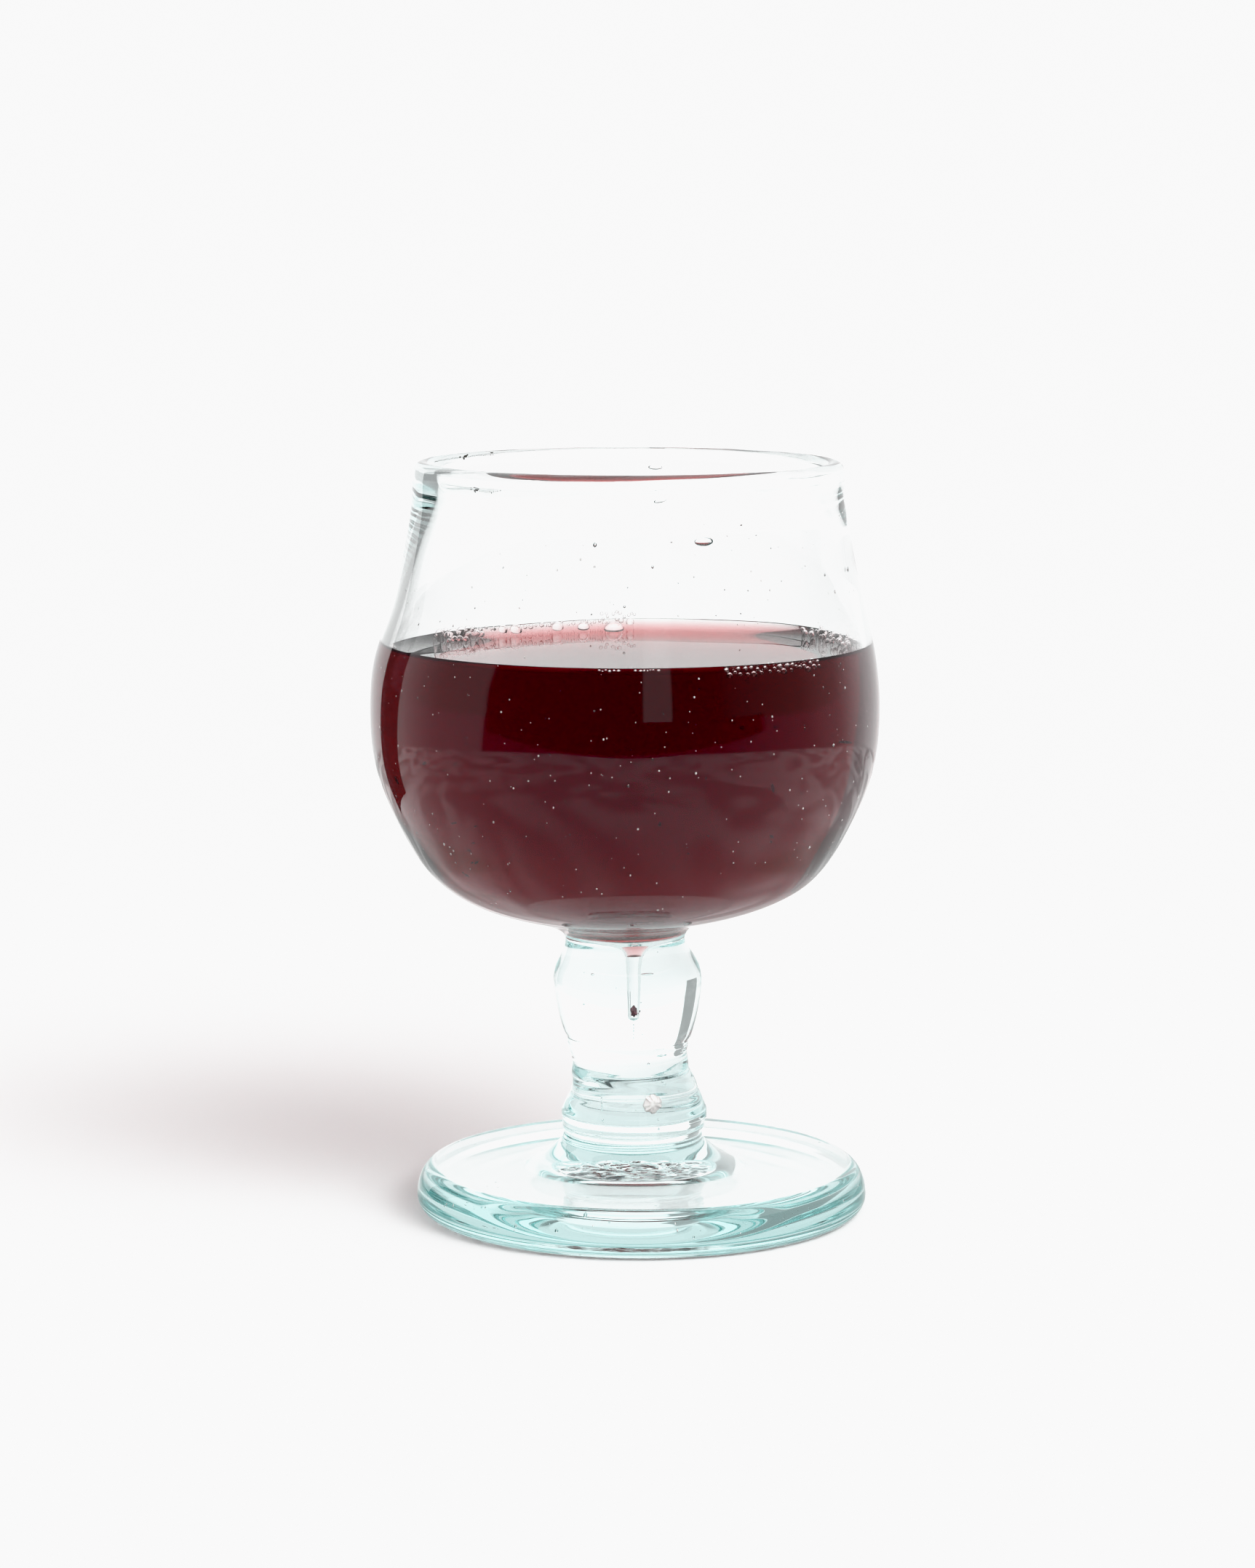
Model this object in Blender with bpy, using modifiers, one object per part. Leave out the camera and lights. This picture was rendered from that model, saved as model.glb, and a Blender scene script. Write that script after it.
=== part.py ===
"""A small hand-blown goblet of recycled glass, filled to two thirds with red wine.

The bowl, the knobbed stem and the thick disc foot are one fused piece of glass.
A drawn-out channel runs from the floor of the bowl down into the stem.
The wine is a solid up to its level, with the bubbles that stand at its edge fused on.
Run it with: blender --background --python part.py
"""

import math
import random

import bmesh
import bpy
import numpy as np
from mathutils import Matrix

MM = 0.001

# Driving dimensions, in millimetres
HEIGHT = 128.0
TURN_STEPS = 36
SPAN_STEPS = 2
BOWL_FLOOR_START = 57.0

# Rolled lip: a bead of glass round the mouth
LIP_MIDDLE_RADIUS = 34.5
LIP_BEAD_RADIUS = 1.7
LIP_ARC_START = 162.0
LIP_ARC_END = 18.0
LIP_STEPS = 6

# Foot: a thick disc with rounded edges that flares up to its joint with the stem, and the rough
# dish where the iron was broken off
FOOT_RADIUS = 38.4
FOOT_THICKNESS = 8.1
FOOT_TOP_ROUNDING = 3.4
FOOT_BOTTOM_ROUNDING = 2.9
FOOT_ROUNDING_STEPS = 5
FOOT_MIDDLE_X = 2.85
FOOT_FLAT_RADIUS = 34.0
JOINT_RADIUS = 12.3
JOINT_HEIGHT = 11.9
JOINT_MIDDLE_X = 1.3
PONTIL_RADIUS = 11.5
PONTIL_DEPTH = 1.2
PONTIL_MIDDLE_X = 1.6

# The dish under the foot: shares of its radius and of its depth, from its rim inwards
PONTIL_DISH = ((1.0, 0.0), (0.92, 0.5), (0.6, 0.9), (0.0, 1.0))

# Wine: its flat level, how far it creeps up the wall, and where it ends in the channel
WINE_LEVEL = 95.5
WINE_CREEP = 2.0
CREEP_LENGTH = 2.1
WINE_END = 42.8
WINE_END_DEPTH = 0.3
SURFACE_STEPS = (12.0, 6.5, 4.0, 2.4, 1.3, 0.6)
CHANNEL_MOUTH = 48.3
CHANNEL_END = 34.5
CHANNEL_END_DEPTH = 0.4
GAP = 0.3

# Radius and height of the outside, from under the lip to the top of the foot
OUTSIDE = (
    (36.3, 126.3),
    (36.4, 121.6),
    (37.6, 114.0),
    (39.8, 104.0),
    (42.3, 94.8),
    (43.0, 84.4),
    (41.7, 75.2),
    (37.5, 65.4),
    (31.8, 57.4),
    (22.8, 52.5),
    (14.0, 50.0),
    (10.2, 47.1),
    (12.1, 42.5),
    (12.5, 38.0),
    (11.4, 32.4),
    (10.1, 27.7),
    (10.0, 24.2),
    (11.3, 19.9),
    (12.4, 16.1),
    (11.8, 13.3),
    (JOINT_RADIUS, JOINT_HEIGHT),
    (13.5, 10.8),
    (14.9, 9.7),
    (16.4, 8.85),
    (18.2, 8.3),
    (20.5, 8.12),
    (26.0, FOOT_THICKNESS),
    (FOOT_FLAT_RADIUS, FOOT_THICKNESS),
)

# Radius and height of the bowl's floor and of the channel under it
FLOOR = (
    (22.0, 55.1),
    (12.0, 50.9),
    (6.6, CHANNEL_MOUTH),
    (4.3, 47.4),
    (2.4, 46.4),
    (1.6, 45.2),
    (1.1, 43.4),
    (0.9, 41.0),
    (0.7, 37.5),
    (0.6, CHANNEL_END),
)

# Height and thickness of the bowl's wall
WALL = (
    (57.0, 2.8),
    (64.0, 2.2),
    (74.0, 1.85),
    (96.0, 1.85),
    (110.0, 2.0),
    (118.0, 2.2),
    (122.6, 2.8),
    (126.3, 3.5),
)

# Height and how far the middle strays in X, for the outside and for the bore
OUTSIDE_MIDDLE = (
    (JOINT_HEIGHT, JOINT_MIDDLE_X),
    (17.0, 1.6),
    (21.0, 1.7),
    (25.0, 0.9),
    (28.0, 0.55),
    (43.0, 0.45),
    (47.5, 0.0),
    (50.5, -0.8),
    (57.0, 0.0),
    (92.0, 0.0),
    (106.0, 0.6),
    (128.0, 0.65),
)
BORE_MIDDLE = (
    (CHANNEL_END, 1.15),
    (46.5, 1.15),
    (52.0, 0.0),
    (92.0, 0.0),
    (106.0, 0.7),
    (120.0, 1.2),
    (128.0, 1.35),
)

# Bubbles fused to the wine, at the back left, along the back, at the right end and at the front
# right: the arc of the wall that they stand on, clockwise from the back, how many, and their
# smallest and largest radius
BUBBLE_ARCS = (
    (-57.0, -44.0, 5, 0.5, 1.1),
    (-42.0, -6.0, 9, 0.45, 0.75),
    (56.0, 84.0, 6, 0.45, 0.75),
    (133.0, 155.0, 7, 0.45, 0.5),
)
LARGEST_BUBBLE_ANGLE = -2.5
LARGEST_BUBBLE_RADIUS = 1.8
BUBBLE_SEED = 11
BUBBLE_SHIFT = 0.3
BUBBLE_CLEARANCE = 0.1
BUBBLE_LIFT = 0.25
BUBBLE_SEGMENTS = 7
BUBBLE_RINGS = 5

# How near a point must be to a surface to belong to it
CLOSE = 0.1


def eased(height, stations):
    """A value read between (height, value) stations, lowest first, easing in and out of each."""
    below = stations[0]
    for above in stations:
        if height <= above[0]:
            break
        below = above
    if height <= below[0] or height >= above[0]:
        return above[1] if height >= above[0] else below[1]
    share = (height - below[0]) / (above[0] - below[0])
    return below[1] + (above[1] - below[1]) * share * share * (3.0 - 2.0 * share)


def smooth_line(stations, steps):
    """Points on a cubic spline through the stations, that many steps from one to the next."""
    points = np.array(stations, float)
    spans = np.sqrt(np.linalg.norm(np.diff(points, axis=0), axis=1))
    system = np.eye(len(points))
    right = np.zeros_like(points)
    for i in range(1, len(points) - 1):
        before, after = spans[i - 1], spans[i]
        system[i, i - 1:i + 2] = before, 2.0 * (before + after), after
        right[i] = 6.0 * ((points[i + 1] - points[i]) / after - (points[i] - points[i - 1]) / before)
    bends = np.linalg.solve(system, right)
    line = []
    for i, span in enumerate(spans):
        for s in np.linspace(0.0, span, steps, endpoint=False):
            rest = span - s
            start = (points[i] / span - bends[i] * span / 6.0) * rest
            end = (points[i + 1] / span - bends[i + 1] * span / 6.0) * s
            line.append((bends[i] * rest ** 3 + bends[i + 1] * s ** 3) / (6.0 * span) + start + end)
    line.append(points[-1])
    return line


def arc(middle_radius, middle_height, size, start, end, steps, stretch=1.0):
    """Points on a round corner of the profile, by angles in degrees from the outward direction."""
    angles = np.radians(np.linspace(start, end, steps + 1))
    tall = size * stretch
    return [(middle_radius + size * math.cos(a), middle_height + tall * math.sin(a)) for a in angles]


def moved_in(line, distance):
    """A profile line that runs downwards, moved towards the axis by a distance for each height."""
    moved = []
    for i, (radius, height) in enumerate(line):
        run = np.subtract(line[min(i + 1, len(line) - 1)], line[max(i - 1, 0)])
        inward = np.array((run[1], -run[0])) / np.linalg.norm(run)
        moved.append(np.array((radius, height)) + inward * distance(height))
    return moved


def inner_wall():
    """The bore of the bowl, from the mouth down: the outside moved in by the wall's thickness."""
    bowl = [station for station in OUTSIDE if station[1] > BOWL_FLOOR_START]
    heights, thicknesses = zip(*WALL)
    return moved_in(smooth_line(bowl, SPAN_STEPS), lambda height: np.interp(height, heights, thicknesses))


def bore_line():
    """The whole inner surface, from the mouth down to the end of the channel."""
    return inner_wall() + smooth_line(FLOOR, SPAN_STEPS)


def glass_profile():
    """From the end of the channel up the bore, over the lip, down the outside and under the foot."""
    inside = bore_line()
    lip_height = HEIGHT - LIP_BEAD_RADIUS
    lip = arc(LIP_MIDDLE_RADIUS, lip_height, LIP_BEAD_RADIUS, LIP_ARC_START, LIP_ARC_END, LIP_STEPS)
    outside = smooth_line(OUTSIDE, SPAN_STEPS)[1:]
    foot_top = arc(
        FOOT_RADIUS - FOOT_TOP_ROUNDING,
        FOOT_BOTTOM_ROUNDING,
        FOOT_TOP_ROUNDING,
        90.0,
        0.0,
        FOOT_ROUNDING_STEPS,
        (FOOT_THICKNESS - FOOT_BOTTOM_ROUNDING) / FOOT_TOP_ROUNDING,
    )
    foot_bottom = arc(
        FOOT_RADIUS - FOOT_BOTTOM_ROUNDING,
        FOOT_BOTTOM_ROUNDING,
        FOOT_BOTTOM_ROUNDING,
        0.0,
        -90.0,
        FOOT_ROUNDING_STEPS,
    )
    pontil = [(PONTIL_RADIUS * across, PONTIL_DEPTH * up) for across, up in PONTIL_DISH]
    channel_bottom = [(0.0, CHANNEL_END - CHANNEL_END_DEPTH)]
    return channel_bottom + inside[::-1] + lip + outside + foot_top + foot_bottom[1:] + pontil


def creep(distance):
    """How far the wine stands above its level, by the distance from its edge."""
    return WINE_CREEP * math.exp(-distance / CREEP_LENGTH)


def wine_line():
    """The side of the wine, from its edge on the wall down to its end in the channel."""
    edge = WINE_LEVEL + WINE_CREEP
    side = [point for point in moved_in(bore_line(), lambda height: GAP) if point[1] > WINE_END]
    below = [point for point in side if point[1] < edge]
    above = side[len(side) - len(below) - 1]
    share = (edge - below[0][1]) / (above[1] - below[0][1])
    return [below[0] + (above - below[0]) * share] + below


def wine_profile():
    """From the middle of the surface out to its edge, then down the side to the channel."""
    side = wine_line()
    edge_radius = side[0][0]
    surface = [(0.0, WINE_LEVEL)]
    for distance in SURFACE_STEPS:
        surface.append((edge_radius - distance, WINE_LEVEL + creep(distance)))
    return surface + side + [(0.0, WINE_END - WINE_END_DEPTH)]


def turned(name, profile, collection):
    """One closed solid turned from a profile, with the turning applied."""
    mesh = bpy.data.meshes.new(name)
    points = [(radius * MM, 0.0, height * MM) for radius, height in profile]
    edges = [(i, i + 1) for i in range(len(points) - 1)]
    mesh.from_pydata(points, edges, [])
    rough = bpy.data.objects.new(name + "_profile", mesh)
    collection.objects.link(rough)
    screw = rough.modifiers.new("turning", "SCREW")
    screw.steps = TURN_STEPS
    screw.render_steps = TURN_STEPS
    screw.use_merge_vertices = True
    screw.merge_threshold = 0.00001
    screw.use_normal_calculate = True
    bpy.context.view_layer.update()
    finished = bpy.data.meshes.new_from_object(rough.evaluated_get(bpy.context.evaluated_depsgraph_get()))
    bpy.data.objects.remove(rough)
    finished.name = name
    solid = bpy.data.objects.new(name, finished)
    collection.objects.link(solid)
    return solid


def strayed_outside(radius, height):
    """How far the outside strays in X: the foot sits off the stem, and the bowl leans a little."""
    if height > JOINT_HEIGHT:
        return eased(height, OUTSIDE_MIDDLE)
    if height > FOOT_BOTTOM_ROUNDING:
        return eased(radius, ((JOINT_RADIUS, JOINT_MIDDLE_X), (FOOT_FLAT_RADIUS, FOOT_MIDDLE_X)))
    return eased(radius, ((PONTIL_RADIUS, PONTIL_MIDDLE_X), (FOOT_FLAT_RADIUS, FOOT_MIDDLE_X)))


def lean_glass(solid):
    """Moves each level of the turned glass to where the hand-made one has it."""
    bore = sorted(((height, radius) for radius, height in bore_line()))
    heights = [height for height, radius in bore]
    radii = [radius for height, radius in bore]
    for vertex in solid.data.vertices:
        radius = math.hypot(vertex.co.x, vertex.co.y) / MM
        height = vertex.co.z / MM
        bore_radius = float(np.interp(height, heights, radii))
        if height > CHANNEL_END - 2.0 * CHANNEL_END_DEPTH and radius < bore_radius + CLOSE:
            vertex.co.x += eased(height, BORE_MIDDLE) * MM
        else:
            vertex.co.x += strayed_outside(radius, height) * MM


def lean_wine(solid):
    """Moves each level of the wine with the bore that it fills."""
    for vertex in solid.data.vertices:
        vertex.co.x += eased(vertex.co.z / MM, BORE_MIDDLE) * MM


def bubble_places():
    """Angle and radius of every fused bubble."""
    draw = random.Random(BUBBLE_SEED)
    places = [(LARGEST_BUBBLE_ANGLE, LARGEST_BUBBLE_RADIUS)]
    for start, end, count, smallest, largest in BUBBLE_ARCS:
        for i in range(count):
            shift = draw.uniform(-BUBBLE_SHIFT, BUBBLE_SHIFT)
            angle = start + (end - start) * (i + 0.5 + shift) / count
            places.append((angle, draw.uniform(smallest, largest)))
    return places


def add_bubbles(wine, collection):
    """Fuses the bubbles to the wine's edge with one union."""
    edge_radius = wine_line()[0][0]
    cutters = bpy.data.collections.new("bubbles")
    bpy.context.scene.collection.children.link(cutters)
    for angle, size in bubble_places():
        distance = size + BUBBLE_CLEARANCE
        radius = edge_radius - distance
        height = WINE_LEVEL + creep(distance) + size * BUBBLE_LIFT
        middle = eased(height, BORE_MIDDLE)
        mesh = bpy.data.meshes.new("bubble")
        ball = bmesh.new()
        x = middle + radius * math.sin(math.radians(angle))
        y = radius * math.cos(math.radians(angle))
        place = Matrix.Translation((x * MM, y * MM, height * MM))
        bmesh.ops.create_uvsphere(
            ball,
            u_segments=BUBBLE_SEGMENTS,
            v_segments=BUBBLE_RINGS,
            radius=size * MM,
            matrix=place,
        )
        ball.to_mesh(mesh)
        ball.free()
        cutters.objects.link(bpy.data.objects.new("bubble", mesh))
    union = wine.modifiers.new("bubbles", "BOOLEAN")
    union.operation = "UNION"
    union.operand_type = "COLLECTION"
    union.collection = cutters
    union.solver = "EXACT"
    bpy.context.view_layer.update()
    joined = bpy.data.meshes.new_from_object(wine.evaluated_get(bpy.context.evaluated_depsgraph_get()))
    wine.modifiers.clear()
    wine.data = joined
    joined.name = "wine"
    for ball in list(cutters.objects):
        bpy.data.objects.remove(ball)
    bpy.data.collections.remove(cutters)


def clear_finish(name, colour, roughness, ior):
    """A see-through Principled material."""
    material = bpy.data.materials.new(name)
    material.use_nodes = True
    shader = material.node_tree.nodes["Principled BSDF"]
    shader.inputs["Base Color"].default_value = colour
    shader.inputs["Roughness"].default_value = roughness
    shader.inputs["Metallic"].default_value = 0.0
    shader.inputs["IOR"].default_value = ior
    shader.inputs["Transmission Weight"].default_value = 1.0
    return material


def build():
    for old in list(bpy.data.objects):
        bpy.data.objects.remove(old)
    collection = bpy.data.collections.new("glass_of_red_wine")
    bpy.context.scene.collection.children.link(collection)

    glass = turned("glass", glass_profile(), collection)
    lean_glass(glass)
    glass.data.materials.append(clear_finish("pale_aqua_glass", (0.80, 0.95, 0.93, 1.0), 0.02, 1.52))
    glass.data.shade_smooth()

    wine = turned("wine", wine_profile(), collection)
    lean_wine(wine)
    add_bubbles(wine, collection)
    wine.data.materials.clear()
    wine.data.materials.append(clear_finish("red_wine", (0.10, 0.008, 0.015, 1.0), 0.02, 1.34))
    wine.data.shade_smooth()


build()
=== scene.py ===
"""A small hand-blown goblet of recycled glass, two thirds full of red wine, on a white table.

The sections follow the way the real thing is made and filled: the blown glass with its bubbles,
the grains and the ash caught in it, the wine with the froth round its edge, the dregs in the
stem, the marks that the tools left on the lip, and then the table, the light and the camera.
"""
import math
import random

import bmesh
import bpy
import numpy as np
from mathutils import Matrix, Vector, noise


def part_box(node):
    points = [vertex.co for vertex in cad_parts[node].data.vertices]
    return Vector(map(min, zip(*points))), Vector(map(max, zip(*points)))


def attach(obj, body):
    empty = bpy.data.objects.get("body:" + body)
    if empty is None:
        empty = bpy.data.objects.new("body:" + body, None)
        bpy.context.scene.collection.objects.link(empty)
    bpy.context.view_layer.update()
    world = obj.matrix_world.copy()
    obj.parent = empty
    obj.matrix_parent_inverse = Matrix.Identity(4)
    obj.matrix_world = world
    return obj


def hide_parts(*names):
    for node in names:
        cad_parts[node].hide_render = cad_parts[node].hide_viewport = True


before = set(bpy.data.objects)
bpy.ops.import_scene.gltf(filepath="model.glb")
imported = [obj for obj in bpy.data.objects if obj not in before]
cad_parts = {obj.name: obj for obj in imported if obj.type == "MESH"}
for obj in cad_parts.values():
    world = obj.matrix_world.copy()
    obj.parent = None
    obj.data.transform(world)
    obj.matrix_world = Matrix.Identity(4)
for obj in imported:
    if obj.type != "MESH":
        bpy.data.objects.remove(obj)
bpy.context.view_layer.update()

MM = 0.001


# The goblet
# One piece of bottle glass, melted down and blown by hand: bowl, knobbed stem and disc foot are
# fused while hot. A drawn-out channel runs from the floor of the bowl down into the stem, and
# the underside keeps the rough scar where the iron was broken off.
glass_low, glass_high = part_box("glass")
HEIGHT = (glass_high[2] - glass_low[2]) / MM
TURN_STEPS = 192
SPAN_STEPS = 9
SAME_PLACE = 0.0005
BOWL_FLOOR_START = 57.0
LIP_MIDDLE_RADIUS = 34.5
LIP_BEAD_RADIUS = 1.7
LIP_ARC_START = 162.0
LIP_ARC_END = 18.0
LIP_STEPS = 18
FOOT_RADIUS = 38.4
FOOT_THICKNESS = 8.1
FOOT_TOP_ROUNDING = 3.4
FOOT_BOTTOM_ROUNDING = 2.9
FOOT_TOP_STEPS = 20
FOOT_BOTTOM_STEPS = 16
FOOT_MIDDLE_X = 2.85
FOOT_FLAT_RADIUS = 34.0
JOINT_RADIUS = 12.3
JOINT_HEIGHT = 11.9
JOINT_MIDDLE_X = 1.3
UNDERSIDE_RISE = 0.7
UNDERSIDE_STEPS = 16
PONTIL_RADIUS = 11.5
PONTIL_DEPTH = 1.2
PONTIL_MIDDLE_X = 1.6
PONTIL_SQUASH = 0.66
PONTIL_STEEPNESS = 1.6
PONTIL_CURVE = 0.6
PONTIL_RIM = 0.7
PONTIL_STEPS = 34
SQUASH_END = 26.0
CHANNEL_MOUTH = 48.3
CHANNEL_END = 34.5
CHANNEL_END_DEPTH = 0.4
CHANNEL_MIDDLE_X = 1.15
CLOSE = 0.05

# Radius and height of the outside, from under the lip to the foot
OUTSIDE = (
    (36.3, 126.3),
    (36.4, 121.6),
    (37.6, 114.0),
    (39.8, 104.0),
    (42.3, 94.8),
    (43.0, 84.4),
    (41.7, 75.2),
    (37.5, 65.4),
    (31.8, 57.4),
    (22.8, 52.5),
    (14.0, 50.0),
    (10.2, 47.1),
    (12.1, 42.5),
    (12.5, 38.0),
    (11.4, 32.4),
    (10.1, 27.7),
    (10.0, 24.2),
    (11.3, 19.9),
    (12.4, 16.1),
    (11.8, 13.3),
    (JOINT_RADIUS, JOINT_HEIGHT),
    (13.5, 10.8),
    (14.9, 9.7),
    (16.4, 8.85),
    (18.2, 8.3),
    (20.5, 8.12),
    (26.0, FOOT_THICKNESS),
    (FOOT_FLAT_RADIUS, FOOT_THICKNESS),
)

# Radius and height of the bowl's floor and of the channel under it
FLOOR = (
    (22.0, 55.1),
    (12.0, 50.9),
    (6.6, CHANNEL_MOUTH),
    (4.3, 47.4),
    (2.4, 46.4),
    (1.6, 45.2),
    (1.1, 43.4),
    (0.9, 41.0),
    (0.7, 37.5),
    (0.6, CHANNEL_END),
)

# Height and thickness of the bowl's wall
WALL = (
    (57.0, 2.8),
    (64.0, 2.2),
    (74.0, 1.85),
    (96.0, 1.85),
    (110.0, 2.0),
    (118.0, 2.2),
    (122.6, 2.8),
    (126.3, 3.5),
)

# Height and how far the middle strays in X, for the outside and for the bore
OUTSIDE_MIDDLE = (
    (JOINT_HEIGHT, JOINT_MIDDLE_X),
    (17.0, 1.6),
    (21.0, 1.7),
    (25.0, 0.9),
    (28.0, 0.55),
    (43.0, 0.45),
    (47.5, 0.0),
    (50.5, -0.8),
    (57.0, 0.0),
    (92.0, 0.0),
    (106.0, 0.6),
    (128.0, 0.65),
)
BORE_MIDDLE = (
    (CHANNEL_END, CHANNEL_MIDDLE_X),
    (46.5, CHANNEL_MIDDLE_X),
    (52.0, 0.0),
    (92.0, 0.0),
    (106.0, 0.7),
    (120.0, 1.2),
    (128.0, 1.35),
)

# Folds that the tools pressed round the lower stem: height, depth, half width, how far the fold
# rises and falls on its way round, and where it is highest
STEM_FOLDS = (
    (29.6, -0.30, 0.55, 0.45, 200.0),
    (26.8, -0.10, 0.90, 0.90, 20.0),
    (23.6, 0.16, 0.80, 0.70, 130.0),
    (20.6, -0.14, 0.55, 0.60, 300.0),
    (17.3, 0.12, 0.60, 0.40, 60.0),
    (15.4, -0.18, 0.40, 0.30, 240.0),
    (14.4, 0.10, 0.30, 0.25, 90.0),
    (13.5, -0.14, 0.26, 0.20, 150.0),
    (12.8, 0.10, 0.22, 0.12, 30.0),
)

# The waves of a wall that was blown and not pressed: how long and how deep, and how far under the
# top of the lip they end
OUTSIDE_WAVE = 24.0
OUTSIDE_WAVE_DEPTH = 0.05
OUTSIDE_WAVE_END = 6.0
BORE_WAVE = 15.0
BORE_WAVE_DEPTH = 0.06
BORE_WAVE_END = 4.0
LIP_WAVE = 7.0
LIP_WAVE_DEPTH = 0.12
LIP_WAVE_FADES = ((114.0, 0.0), (121.0, 1.0), (125.5, 1.0), (127.4, 0.0))
FOOT_WAVE = 17.0
FOOT_WAVE_DEPTH = 0.14
FOOT_WAVE_FULL = 15.5
FOOT_WAVE_FADE = 1.0
FOOT_SAG = 0.5

# The crumpled roof of the scar: how coarse, how deep, where it fades out and where it ends below
SCAR_GRAIN = 3.2
SCAR_FALL_OFF = 0.9
SCAR_DEPTH = 0.7
SCAR_FADE = 1.5
SCAR_LOWEST = 0.05
FINER_STEP = 2.0
FINER_STEPS = 3

# How high the wine wets the bowl, and where its funnel starts
WETTED_TOP = 97.5
FUNNEL_TOP = 52.0


def eased(at, stations):
    """A value read between (place, value) stations, lowest first, easing in and out of each."""
    below = stations[0]
    for above in stations:
        if at <= above[0]:
            break
        below = above
    if at <= below[0] or at >= above[0]:
        return above[1] if at >= above[0] else below[1]
    share = (at - below[0]) / (above[0] - below[0])
    return below[1] + (above[1] - below[1]) * share * share * (3.0 - 2.0 * share)


def smooth_line(stations):
    """Points on a cubic spline through the stations."""
    points = np.array(stations, float)
    spans = np.sqrt(np.linalg.norm(np.diff(points, axis=0), axis=1))
    system = np.eye(len(points))
    right = np.zeros_like(points)
    for i in range(1, len(points) - 1):
        before, after = spans[i - 1], spans[i]
        system[i, i - 1:i + 2] = before, 2.0 * (before + after), after
        right[i] = 6.0 * ((points[i + 1] - points[i]) / after - (points[i] - points[i - 1]) / before)
    bends = np.linalg.solve(system, right)
    line = []
    for i, span in enumerate(spans):
        for s in np.linspace(0.0, span, SPAN_STEPS, endpoint=False):
            rest = span - s
            start = (points[i] / span - bends[i] * span / 6.0) * rest
            end = (points[i + 1] / span - bends[i + 1] * span / 6.0) * s
            line.append((bends[i] * rest ** 3 + bends[i + 1] * s ** 3) / (6.0 * span) + start + end)
    line.append(points[-1])
    return line


def arc(middle_radius, middle_height, size, start, end, steps, stretch=1.0):
    """Points on a round corner of the profile, by angles in degrees from the outward direction."""
    angles = np.radians(np.linspace(start, end, steps + 1))
    tall = size * stretch
    return [(middle_radius + size * math.cos(a), middle_height + tall * math.sin(a)) for a in angles]


def moved_in(line, distance):
    """A profile line that runs downwards, moved towards the axis by a distance for each height."""
    moved = []
    for i, (radius, height) in enumerate(line):
        run = np.subtract(line[min(i + 1, len(line) - 1)], line[max(i - 1, 0)])
        inward = np.array((run[1], -run[0])) / np.linalg.norm(run)
        moved.append(np.array((radius, height)) + inward * distance(height))
    return moved


def bore_line():
    """The whole inner surface, from the mouth down to the end of the channel."""
    bowl = [station for station in OUTSIDE if station[1] > BOWL_FLOOR_START]
    heights, thicknesses = zip(*smooth_line(WALL))
    wall = moved_in(smooth_line(bowl), lambda height: np.interp(height, heights, thicknesses))
    return wall + smooth_line(FLOOR)


def underside_height(radius):
    """The foot stands on its rim: its underside rises a little towards the middle."""
    return UNDERSIDE_RISE * max(0.0, 1.0 - (radius / FOOT_FLAT_RADIUS) ** 2)


def scar_height(radius):
    """Height of the dish's unbroken roof at a radius."""
    inwards = 1.0 - radius / PONTIL_RADIUS
    dish = PONTIL_DEPTH * min(1.0, PONTIL_STEEPNESS * inwards ** PONTIL_CURVE)
    return underside_height(radius) + dish


def glass_profile():
    """From the end of the channel up the bore, over the lip, down the outside and under the foot."""
    lip_height = HEIGHT - LIP_BEAD_RADIUS
    lip = arc(LIP_MIDDLE_RADIUS, lip_height, LIP_BEAD_RADIUS, LIP_ARC_START, LIP_ARC_END, LIP_STEPS)
    foot_top = arc(
        FOOT_RADIUS - FOOT_TOP_ROUNDING,
        FOOT_BOTTOM_ROUNDING,
        FOOT_TOP_ROUNDING,
        90.0,
        0.0,
        FOOT_TOP_STEPS,
        (FOOT_THICKNESS - FOOT_BOTTOM_ROUNDING) / FOOT_TOP_ROUNDING,
    )
    foot_bottom = arc(
        FOOT_RADIUS - FOOT_BOTTOM_ROUNDING,
        FOOT_BOTTOM_ROUNDING,
        FOOT_BOTTOM_ROUNDING,
        0.0,
        -90.0,
        FOOT_BOTTOM_STEPS,
    )
    smooth_radii = np.linspace(FOOT_FLAT_RADIUS, PONTIL_RADIUS + PONTIL_RIM, UNDERSIDE_STEPS)
    underside = [(radius, underside_height(radius)) for radius in smooth_radii]
    scar = [(radius, scar_height(radius)) for radius in np.linspace(PONTIL_RADIUS, 0.0, PONTIL_STEPS)]
    outside = smooth_line(OUTSIDE)[1:]
    channel_bottom = [(0.0, CHANNEL_END - CHANNEL_END_DEPTH)]
    upper = channel_bottom + bore_line()[::-1] + lip + outside
    return upper + foot_top + foot_bottom + underside + scar


bore_by_height = sorted((height, radius) for radius, height in bore_line())
bore_heights = [height for height, radius in bore_by_height]
bore_radii = [radius for height, radius in bore_by_height]


def bore_radius(height):
    return float(np.interp(height, bore_heights, bore_radii))


def turned(profile):
    """A bmesh turned from a profile in millimetres, closed at its poles and facing outwards."""
    body = bmesh.new()
    points = [body.verts.new((radius, 0.0, height)) for radius, height in profile]
    for one, other in zip(points, points[1:]):
        body.edges.new((one, other))
    bmesh.ops.spin(
        body,
        geom=body.verts[:] + body.edges[:],
        cent=(0.0, 0.0, 0.0),
        axis=(0.0, 0.0, 1.0),
        angle=math.tau,
        steps=TURN_STEPS,
        use_merge=True,
    )
    bmesh.ops.remove_doubles(body, verts=body.verts, dist=SAME_PLACE)
    bmesh.ops.recalc_face_normals(body, faces=body.faces)
    return body


def wave(point, length, seed):
    """A slow random wave between about -1 and 1, with that wavelength."""
    return noise.noise(point / length + Vector((seed, 0.0, 0.0)))


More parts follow.
